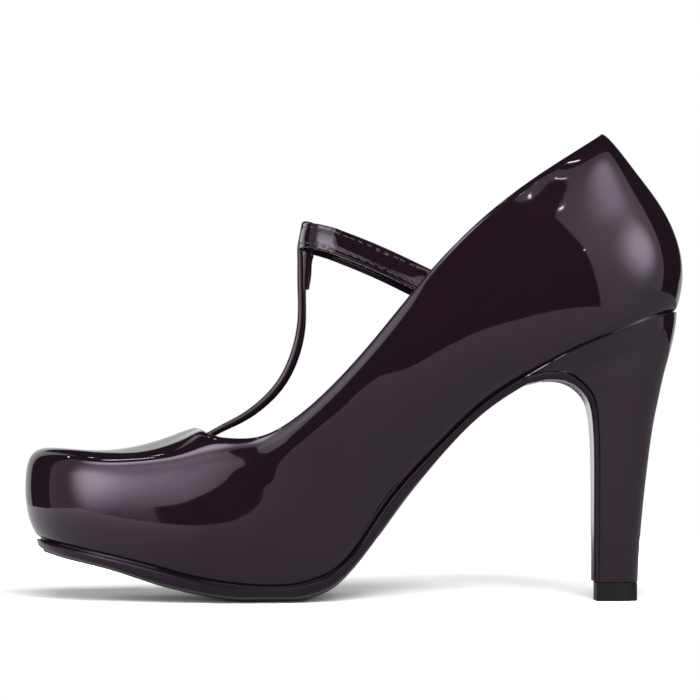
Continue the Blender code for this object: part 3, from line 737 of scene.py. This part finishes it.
def upper_row(place):
    """One section of the wall: up the skin, over the fold and down the lining."""
    length = (skin(place, 1) - skin(place, 0)).length
    rolled = FOLD_HEIGHT + BACK_FOLD * max(1 - min(place, LAP - place) / BACK_UNTIL, 0)
    outside, inside = rolled / length, WALL / 2 / length
    row = []
    for i in range(RISE_STEPS):
        even = i / RISE_STEPS
        eased = (1 - math.cos(math.pi * even)) / 2
        share = (EVEN_SHARE * even + (1 - EVEN_SHARE) * eased) * (1 - outside)
        point = skin(place, share)
        drawn_in = tuck(place, (point - skin(place, 0)).length)
        if point.y < 0:
            drawn_in += crease_depth(point)
        row.append(under_skin(place, share, drawn_in))
    for i in range(2 * FOLD_STEPS + 1):
        turn = math.pi / 2 * i / FOLD_STEPS
        rise, thick = (outside, FOLD_DEPTH) if i < FOLD_STEPS else (inside, WALL - FOLD_DEPTH)
        depth = FOLD_DEPTH - thick * math.cos(turn)
        row.append(under_skin(place, 1 - rise + rise * math.sin(turn), depth))
    for i in range(1, LINING_STEPS + 1):
        row.append(under_skin(place, (1 - inside) * (1 - i / LINING_STEPS), WALL))
    return [seated(row[0]), *row, seated(row[-1])]


LINED_FROM = RISE_STEPS + 2 * FOLD_STEPS + 1
rows = [upper_row(LAP * i / ROUND_STEPS) for i in range(ROUND_STEPS)]
rows.append(rows[0])
upper = swept_mesh(rows, lambda _, at: int(at > LINED_FROM))
piece("patent_upper", upper, [PATENT, LINING], "upper")

# %% [markdown]
# ## Insole and platform
# The insole board carries a padded sock. It follows the lining a hair inside it. The platform under
# the ball stays as packed, since the upper hides it, and only takes its finish.

# %% Insole and platform
INSOLE_STEPS, ACROSS_STEPS = 110, 8


def board_row(place):
    row = []
    for side in (place, LAP - place):
        top = lining_at(side, footbed_z, WALL + GAP)
        low = lining_at(side, lambda x: footbed_z(x) - INSOLE, WALL + GAP)
        row.append((top, low))
    (top_in, low_in), (top_out, low_out) = row
    across = [i / ACROSS_STEPS for i in range(ACROSS_STEPS + 1)]
    return [top_in.lerp(top_out, s) for s in across] + [low_out.lerp(low_in, s) for s in across]


FIRST, LAST = 0.25, TIP - 0.15        # places of its ends at the heel and the toe
insole_rows = [board_row(FIRST + (LAST - FIRST) * i / INSOLE_STEPS) for i in range(INSOLE_STEPS + 1)]
piece("padded_insole", swept_mesh(insole_rows), [SOCK], "insole", bevel=0.7)
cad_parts["platform"].data.materials.clear()
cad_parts["platform"].data.materials.append(BOARD)

# %% [markdown]
# ## Outsole
# A thin moulded sole runs from the toe along the waist, then bends down and covers the front of the
# heel. Its rim stands a little proud of the upper at the toe and the ball.

# %% Rim and tread
WELT_FROM, WELT_OVER = 4, 4           # place from which the rim widens, and over how many places
RimRow = namedtuple("RimRow", "out height")   # beyond the rim, and as a share of the sole's thickness
RIM = (
    RimRow(-1.6, 1.0), RimRow(-0.35, 1.0), RimRow(-0.08, 0.94), RimRow(0.0, 0.84), RimRow(-0.15, 0.6),
    RimRow(-0.35, 0.36), RimRow(-0.7, 0.14), RimRow(-1.3, 0.03), RimRow(-2.2, 0.0),
)
BELLY = [i / 6 - 1 for i in range(1, 12)]     # places across the underside, between its two rims


def rim_point(place, welt, rim):
    point = foot_point(place) + outward(place) * (welt + rim.out)
    low = max(ground_curve(point.x), 0.0) + camber(point.x)
    point.z = low + (under_seam(point.x) - low) * rim.height
    return point


def tread_row(place):
    """One section of the sole under the foot, from its inner rim to its outer one."""
    welt = WAIST_WELT + (WELT - WAIST_WELT) * min(max((place - WELT_FROM) / WELT_OVER, 0), 1)
    inner = [rim_point(place, welt, rim) for rim in RIM]
    outer = [rim_point(LAP - place, welt, rim) for rim in RIM[::-1]]
    belly = []
    for s in BELLY:
        point = inner[-1].lerp(outer[0], (s + 1) / 2)
        point.z = max(ground_curve(point.x), 0.0) + camber(point.x) * abs(s) ** 3
        belly.append(point)
    return inner + belly + outer


print("points round the sole:", len(tread_row(TIP)))

# %% [markdown]
# At the heel the sole leaves the seam and becomes a flap with the same rim, bent down the front of
# the heel along a curve of its own. Its rows have as many points as those of the tread, so that one
# sweep runs through both.

# %% Outsole
SOLE_STEPS, BREAST_STEPS = 150, 80
TOE_CROWD = 1.6           # rows stand closer at the toe, which is the tightest curve
BREAST_FROM = 3.2         # place where the sole leaves the seam and turns down the heel
BendRow = namedtuple("BendRow", "x z half thick")
BREAST_BEND = (
    BendRow(63.5, 76.35, 20.4, 2.3), BendRow(69.1, 76.2, 18.4, 2.3), BendRow(73.6, 74.4, 17.0, 2.0),
    BendRow(77.0, 71.6, 16.0, 1.8), BendRow(79.8, 67.2, 14.9, 1.7), BendRow(81.1, 60.0, 13.5, 1.6),
    BendRow(81.7, 47.0, 11.8, 1.6), BendRow(81.7, 25.0, 9.7, 1.6), BendRow(81.7, 6.6, 8.6, 1.6),
)
HOLLOW = 0.3              # how far the breast is hollowed in its middle
FLAP_SUNK = 0.5           # how far the flap is let into the heel
ROW_STEP = 0.01           # small step for a slope, in rows


def breast_row(bend, at, middle):
    """One section of the flap that covers the front of the heel."""
    x, z, half, thick = (bend[key](at) for key in BendRow._fields)
    along = Vector((bend["x"](at + ROW_STEP) - bend["x"](at - ROW_STEP), 0,
                    bend["z"](at + ROW_STEP) - bend["z"](at - ROW_STEP))).normalized()
    down = Vector((along.z, 0, -along.x))
    back = Vector((x, middle, z)) - down * FLAP_SUNK
    front = Vector((x, middle, z)) + down * thick

    def side(sign):
        return [front.lerp(back, rim.height) + Vector((0, sign * (half + rim.out), 0)) for rim in RIM]

    flat = half + RIM[-1].out
    belly = [front + Vector((0, s * flat, 0)) - down * HOLLOW * (1 - s * s) for s in BELLY]
    return side(-1) + belly + side(1)[::-1]


def sole_rows():
    shares = [(i / SOLE_STEPS) ** TOE_CROWD for i in range(SOLE_STEPS + 1)]
    rows = [tread_row(TIP - (TIP - BREAST_FROM) * share) for share in shares]
    counts = range(len(BREAST_BEND))
    bend = {key: spline(counts, [getattr(r, key) for r in BREAST_BEND]) for key in BendRow._fields}
    shift = (foot_point(BREAST_FROM).y + foot_point(LAP - BREAST_FROM).y) / 2
    for i in range(BREAST_STEPS + 1):
        rows.append(breast_row(bend, counts[-1] * i / BREAST_STEPS, shift * (1 - i / BREAST_STEPS)))
    return rows


def sole_finish_with_groove_shade(row, at):
    """The rim and the flap are painted like the upper. The tread is dull, and the groove's face takes
    the same dull black as painted shade.
    """
    # The groove's face takes the dull black: painted shade.
    from_rim = min(at, 2 * len(RIM) + len(BELLY) - 1 - at)
    return int(from_rim < 1 or from_rim > len(RIM) - 1 and row < SOLE_STEPS)


outsole = swept_mesh(sole_rows(), sole_finish_with_groove_shade)
piece("moulded_outsole", outsole, [EDGE_PAINT, SOLE_AND_GROOVE_SHADE], "outsole")

# %% [markdown]
# ## Heel and top lift
# The heel block is D-shaped in plan and covered in the same patent. It narrows to a rubber top lift.

# %% Heel
HeelRow = namedtuple("HeelRow", "front_x front_z back_x back_z half")
HEEL = (
    HeelRow(58.8, 76.15, 108.8, 97.2, 21.8), HeelRow(69.8, 76.9, 108.4, 93.0, 18.9),
    HeelRow(74.2, 75.0, 107.3, 87.2, 17.4), HeelRow(77.5, 72.2, 105.8, 81.4, 16.4),
    HeelRow(80.3, 67.8, 104.2, 75.5, 15.2), HeelRow(81.6, 60.0, 102.2, 66.5, 13.8),
    HeelRow(82.1, 47.0, 99.8, 53.2, 12.0), HeelRow(82.1, 25.0, 96.7, 27.0, 9.8),
    HeelRow(82.1, 6.3, 95.3, 6.3, 8.6),
)
HEEL_ROUND, HEEL_TURNS, HEEL_STEPS = 2.5, 56, 64
SEAT_RUN = 8.0            # length of the thin front of the heel, over which the seat's curve sets in
LIFT_FRONT, LIFT_BACK, LIFT_HALF = 81.0, 95.2, 8.5
LIFT_TOP = TOP_LIFT + GAP - SEAT_GAP


def d_outline(front, back, half, z_at):
    """A flat front and a round back, from the inner front corner to the outer one."""
    points = []
    for i in range(HEEL_TURNS + 1):
        angle = math.pi * i / HEEL_TURNS
        side, along = -math.cos(angle), max(math.sin(angle), 0.0)
        x = front + (back - front) * along ** (2 / HEEL_ROUND)
        y = half * math.copysign(abs(side) ** (2 / HEEL_ROUND), side)
        points.append(Vector((x, y, z_at(x))))
    return points


def heel_rows():
    curves = [spline(range(len(HEEL)), [getattr(r, key) for r in HEEL]) for key in HeelRow._fields]
    rows = []
    for i in range(HEEL_STEPS + 1):
        at = (len(HEEL) - 1) * i / HEEL_STEPS
        front_x, front_z, back_x, back_z, half = (curve(at) for curve in curves)
        seat = max(0, 1 - at) ** 2

        def z_at(x):
            straight = front_z + (back_z - front_z) * (x - front_x) / (back_x - front_x)
            return straight + seat * min((x - front_x) / SEAT_RUN, 1) * (under_seam(x) - straight)

        rows.append(d_outline(front_x, back_x, half, z_at))
    return rows


piece("patent_heel", swept_mesh(heel_rows()), [PATENT], "heel", bevel=0.4)
lift_rows = [d_outline(LIFT_FRONT, LIFT_BACK, LIFT_HALF, lambda x, z=z: z) for z in (0.0, LIFT_TOP)]
piece("rubber_top_lift", swept_mesh(lift_rows), [RUBBER], "top_lift", bevel=0.4)

# %% [markdown]
# ## Strap and stem
# Both are folded patent with a turned edge. In section a strap is a flat oval with a shallow groove
# where each row of stitches pulls it in.

# %% Strap section
GROOVE_WIDE, GROOVE_DEEP, STITCH_IN = 0.7, 0.22, 1.5
EDGE_ROUND, FACE_FLAT = 0.7, 0.45     # powers that flatten a circle to the strap's oval
SECTION_TURNS = 44


def strap_section(width, thick, pull=1.0, groove=GROOVE_DEEP):
    """Points (across, through) of a strap's section, from its face round to its back."""
    points = []
    for i in range(SECTION_TURNS):
        angle = 2 * math.pi * i / SECTION_TURNS
        across = width / 2 * math.copysign(abs(math.cos(angle)) ** EDGE_ROUND, math.cos(angle))
        through = thick / 2 * math.copysign(abs(math.sin(angle)) ** FACE_FLAT, math.sin(angle))
        from_stitch = (abs(across) - (width / 2 - STITCH_IN)) / GROOVE_WIDE
        pulled = groove * pull * math.exp(-from_stitch ** 2)
        points.append((across, through - math.copysign(pulled, through)))
    return points


print("points round a strap:", len(strap_section(STRAP_WIDTH, STRAP_THICK)))

# %% [markdown]
# The strap runs level over the instep, through the loop, and falls to each side, where its ends lie
# inside the quarters. Its middle line is a curve through rows given for one side and mirrored.
# Each end is laid against the lining, which decides how far out it lies.

# %% Strap line
StrapRow = namedtuple("StrapRow", "x y z lean")
STRAP = (
    StrapRow(-16.8, 0.0, 122.4, 10.0), StrapRow(-16.8, -4.8, 122.4, 10.0),
    StrapRow(-17.0, -6.4, 122.4, 10.0), StrapRow(-17.2, -8.4, 122.4, 10.0),
    StrapRow(-17.1, -11.4, 122.4, 10.0), StrapRow(-16.7, -14.4, 122.4, 10.0),
    StrapRow(-15.9, -17.0, 122.3, 10.0), StrapRow(-14.7, -18.9, 122.1, 10.5),
    StrapRow(-13.2, -20.2, 121.8, 11.0), StrapRow(-11.4, -21.2, 121.4, 11.5),
    StrapRow(-8.2, -22.4, 120.5, 12.0), StrapRow(-4.9, -23.2, 119.3, 12.0),
    StrapRow(6.0, -24.1, 114.9, 12.0), StrapRow(19.0, -25.2, 108.8, 10.0),
    StrapRow(34.0, -27.0, 101.4, 8.0),
)
STRAP_STEPS = 360
TUCK_FROM, TUCK_GAP = 30.0, 1.0       # x past which it is laid against the lining, and its gap there
STRAP_PLACE, STRAP_SHARE = 4.0, 0.7   # about where its inner end lies, for a start
CORRECTIONS, NUDGE = 8, 0.02          # how often that is put right, and the step for its slope
LOWEST, HIGHEST = 0.1, 0.97           # shares of the height between which it stays


def against_lining(x, z, place, depth):
    """The point under the skin at a given x and z, found by a few corrections from a first place,
    and how far the wall leans there, in degrees."""
    at = np.array([place, STRAP_SHARE])
    for _ in range(CORRECTIONS):
        here = under_skin(at[0], at[1], depth)
        aside = under_skin(at[0] + NUDGE, at[1], depth)
        below = under_skin(at[0], at[1] - NUDGE, depth)
        slope = np.array([
            [(aside.x - here.x) / NUDGE, (here.x - below.x) / NUDGE],
            [(aside.z - here.z) / NUDGE, (here.z - below.z) / NUDGE],
        ])
        at = at + np.linalg.solve(slope, np.array([x - here.x, z - here.z]))
        at[1] = min(max(at[1], LOWEST), HIGHEST)
    face = (under_skin(at[0], at[1], depth - 1) - under_skin(at[0], at[1], depth)).normalized()
    return under_skin(at[0], at[1], depth), math.degrees(math.asin(face.z))


def strap_line():
    """Middle line of the strap: places, directions along it and directions its face looks."""
    depth = WALL + TUCK_GAP + STRAP_THICK / 2
    inner, outer = [], []
    for row in STRAP:
        for side, rows, place in ((1, inner, STRAP_PLACE), (-1, outer, LAP - STRAP_PLACE)):
            point, lean = Vector((row.x, side * row.y, row.z)), row.lean
            if row.x > TUCK_FROM:
                tucked, lean = against_lining(row.x, row.z, place, depth)
                point.y = tucked.y
            rows.append((point, lean))
    rows = inner[::-1] + outer[1:]
    curves = [spline(range(len(rows)), [p[axis] for p, _ in rows]) for axis in range(3)]
    lean_at = spline(range(len(rows)), [lean for _, lean in rows])
    line = []
    for i in range(STRAP_STEPS + 1):
        at = (len(rows) - 1) * i / STRAP_STEPS
        centre = Vector([curve(at) for curve in curves])
        along = Vector([curve(at + ROW_STEP) - curve(at - ROW_STEP) for curve in curves]).normalized()
        level = Vector((-along.y, along.x, 0)).normalized()
        lean = math.radians(lean_at(at))
        face = level * math.cos(lean) + Vector((0, 0, math.sin(lean)))
        face = (face - along * face.dot(along)).normalized()
        up = face.cross(along)
        line.append((centre, along, face, up if up.z >= 0 else -up))
    return line


def lengths_of(points):
    """Length along a line of points, at each of them."""
    total = [0.0]
    for here, there in zip(points, points[1:]):
        total.append(total[-1] + (there - here).length)
    return total


STRAP_LINE = strap_line()
STRAP_LENGTHS = lengths_of([row[0] for row in STRAP_LINE])
print(f"strap length {STRAP_LENGTHS[-1]:.0f} mm")

# %% [markdown]
# The section is swept along that line. The groove is a little deeper at each stitch than between two.

# %% Strap
STITCH_PITCH = 3.0
EVEN_PULL = 0.85          # share of the groove's depth that is the same between stitches
strap_rows = []
for (centre, along, face, up), length in zip(STRAP_LINE, STRAP_LENGTHS):
    pull = EVEN_PULL + (1 - EVEN_PULL) * math.cos(2 * math.pi * length / STITCH_PITCH)
    strap_rows.append([centre + up * a + face * t
                       for a, t in strap_section(STRAP_WIDTH, STRAP_THICK, pull)])
piece("instep_strap_patent", swept_mesh(strap_rows), [PATENT], "instep_strap")

# %% [markdown]
# ## Stitches
# A row of lockstitch holds each turned edge. A stitch is a small capsule: a sphere drawn out along
# the strap, half sunk in its groove and a little aslant. They are joined into one mesh.

# %% Stitches
STITCH_LONG, STITCH_THICK, STITCH_SLANT = 2.0, 0.42, 0.12
STITCH_SUNK = 0.16        # depth of a stitch's middle under the face of the strap
STITCH_BLUNT = 0.6        # power that makes a ball's ends blunt


def add_stitch(mesh, middle, along, across, face):
    """One capsule: its long axis follows the strap, turned a little towards one edge."""
    along = (along + across * STITCH_SLANT).normalized()
    across = face.cross(along)
    axes = Matrix((along * STITCH_LONG / 2, across * STITCH_THICK / 2, face * STITCH_THICK / 2))
    made = bmesh.ops.create_uvsphere(mesh, u_segments=8, v_segments=6, radius=1.0)["verts"]
    for vert in made:
        x, y, z = vert.co.z, vert.co.x, vert.co.y
        blunt = math.copysign(abs(x) ** STITCH_BLUNT, x)
        vert.co = (middle + axes.transposed() @ Vector((blunt, y, z))) * MM


def stitch_mesh():
    mesh = bmesh.new()
    count = int(STRAP_LENGTHS[-1] / STITCH_PITCH)
    for i in range(1, count):
        length = i * STITCH_PITCH
        at = int(np.searchsorted(STRAP_LENGTHS, length))
        centre, along, face, up = STRAP_LINE[at]
        for side in (-1, 1):
            across = up * side * (STRAP_WIDTH / 2 - STITCH_IN)
            add_stitch(mesh, centre + across + face * (STRAP_THICK / 2 - STITCH_SUNK), along, up, face)
    bmesh.ops.recalc_face_normals(mesh, faces=mesh.faces)
    return mesh


stitches = piece("strap_stitches", stitch_mesh(), [THREAD])

# %% [markdown]
# The stem of the T comes out from under the vamp and is seen on its edge. Its top folds over the
# strap as a loop and is turned down behind itself. It is one sweep, so the loop is only more rows.

# %% Stem line
StemRow = namedtuple("StemRow", "x z thick")
STEM = (
    StemRow(-67.0, 50.0, 2.2), StemRow(-60.7, 52.2, 2.2), StemRow(-55.0, 54.6, 2.2),
    StemRow(-50.6, 55.2, 2.2), StemRow(-46.0, 57.4, 2.4), StemRow(-38.3, 61.3, 2.8),
    StemRow(-31.6, 66.0, 3.1), StemRow(-24.9, 73.2, 3.3), StemRow(-20.2, 82.8, 3.4),
    StemRow(-18.0, 93.0, 3.2), StemRow(-17.8, 101.0, 3.0), StemRow(-18.5, 106.0, 1.9),
    StemRow(-18.6, 110.5, 1.8), StemRow(-18.7, 115.0, 1.6), StemRow(-18.8, 117.0, 1.5),
)
LoopRow = namedtuple("LoopRow", "out up thick")
LOOP = (
    LoopRow(1.6, -4.2, 0.9), LoopRow(1.6, 0.0, 0.9), LoopRow(1.6, 3.1, 0.9),
    LoopRow(1.4, 4.75, 0.8), LoopRow(-0.1, 5.15, 0.7), LoopRow(-1.9, 4.75, 1.0),
    LoopRow(-2.5, 3.3, 1.5), LoopRow(-2.7, 0.0, 1.8), LoopRow(-2.6, -3.9, 1.9),
)
TAIL = (
    StemRow(-15.5, 116.4, 3.4), StemRow(-15.7, 114.6, 3.0), StemRow(-15.9, 110.4, 2.8),
    StemRow(-16.1, 106.2, 2.1), StemRow(-16.0, 104.6, 1.4),
)
SNUG = 1.2                # how much thicker than its solid the fold is inwards, so that it closes
SNUG_FROM, SNUG_TO = TAIL[-1].z - 1, STRAP[0].z - 3.5   # heights between which it is
FOLD_X = STRAP[0].x - 1   # middle of the fold
VAMP_LOW, VAMP_HALVINGS = 0.6, 24     # share of the vamp over which a search stays, and its rounds


def under_vamp(x, depth):
    """Height under the skin on the middle of the vamp, found by halving."""
    low, high = VAMP_LOW, 1.0
    for _ in range(VAMP_HALVINGS):
        middle = (low + high) / 2
        low, high = (middle, high) if under_skin(TIP, middle, depth).x < x else (low, middle)
    return under_skin(TIP, (low + high) / 2, depth).z


def stem_nodes():
    """The stem's rows: those under the vamp lie against its lining, and the loop is set round the
    strap."""
    throat = SECTIONS[TIP].edge_x
    stem = []
    for row in STEM:
        z = under_vamp(row.x, WALL + TUCK_GAP + row.thick / 2) if row.x < throat else row.z
        stem.append(row._replace(z=z))
    middle, lean = STRAP[0], math.radians(STRAP[0].lean)
    for row in LOOP:
        x = middle.x - row.out * math.cos(lean) + row.up * math.sin(lean)
        z = middle.z + row.out * math.sin(lean) + row.up * math.cos(lean)
        stem.append(StemRow(x, z, row.thick))
    nodes = []
    for row in (*stem, *TAIL):
        if SNUG_FROM < row.z < SNUG_TO:
            inwards = math.copysign(SNUG / 2, FOLD_X - row.x)
            row = row._replace(x=row.x + inwards, thick=row.thick + SNUG)
        nodes.append(row)
    return nodes


STEM_NODES = stem_nodes()
STEM_LENGTHS = lengths_of([Vector((n.x, 0, n.z)) for n in STEM_NODES])
print(f"stem length {STEM_LENGTHS[-1]:.0f} mm")

# %% [markdown]
# The rows stand at uneven distances, so the curves run over the length along the stem. Its section
# is the strap's, with no groove, because no stitches show on it.

# %% Stem
STEM_Y, STEM_STEPS = -1.2, 260


def stem_rows():
    x_at, z_at, thick_at = (
        spline(STEM_LENGTHS, [getattr(n, key) for n in STEM_NODES]) for key in StemRow._fields)
    rows = []
    for i in range(STEM_STEPS + 1):
        at = STEM_LENGTHS[-1] * i / STEM_STEPS
        ahead, behind = at + SLOPE_STEP, at - SLOPE_STEP
        along = Vector((x_at(ahead) - x_at(behind), 0, z_at(ahead) - z_at(behind))).normalized()
        face = Vector((-along.z, 0, along.x))
        centre = Vector((x_at(at), STEM_Y, z_at(at)))
        rows.append([centre + Vector((0, a, 0)) + face * t
                     for a, t in strap_section(STEM_WIDTH, thick_at(at), groove=0.0)])
    return rows


piece("t_stem_patent", swept_mesh(stem_rows()), [PATENT], "t_stem")
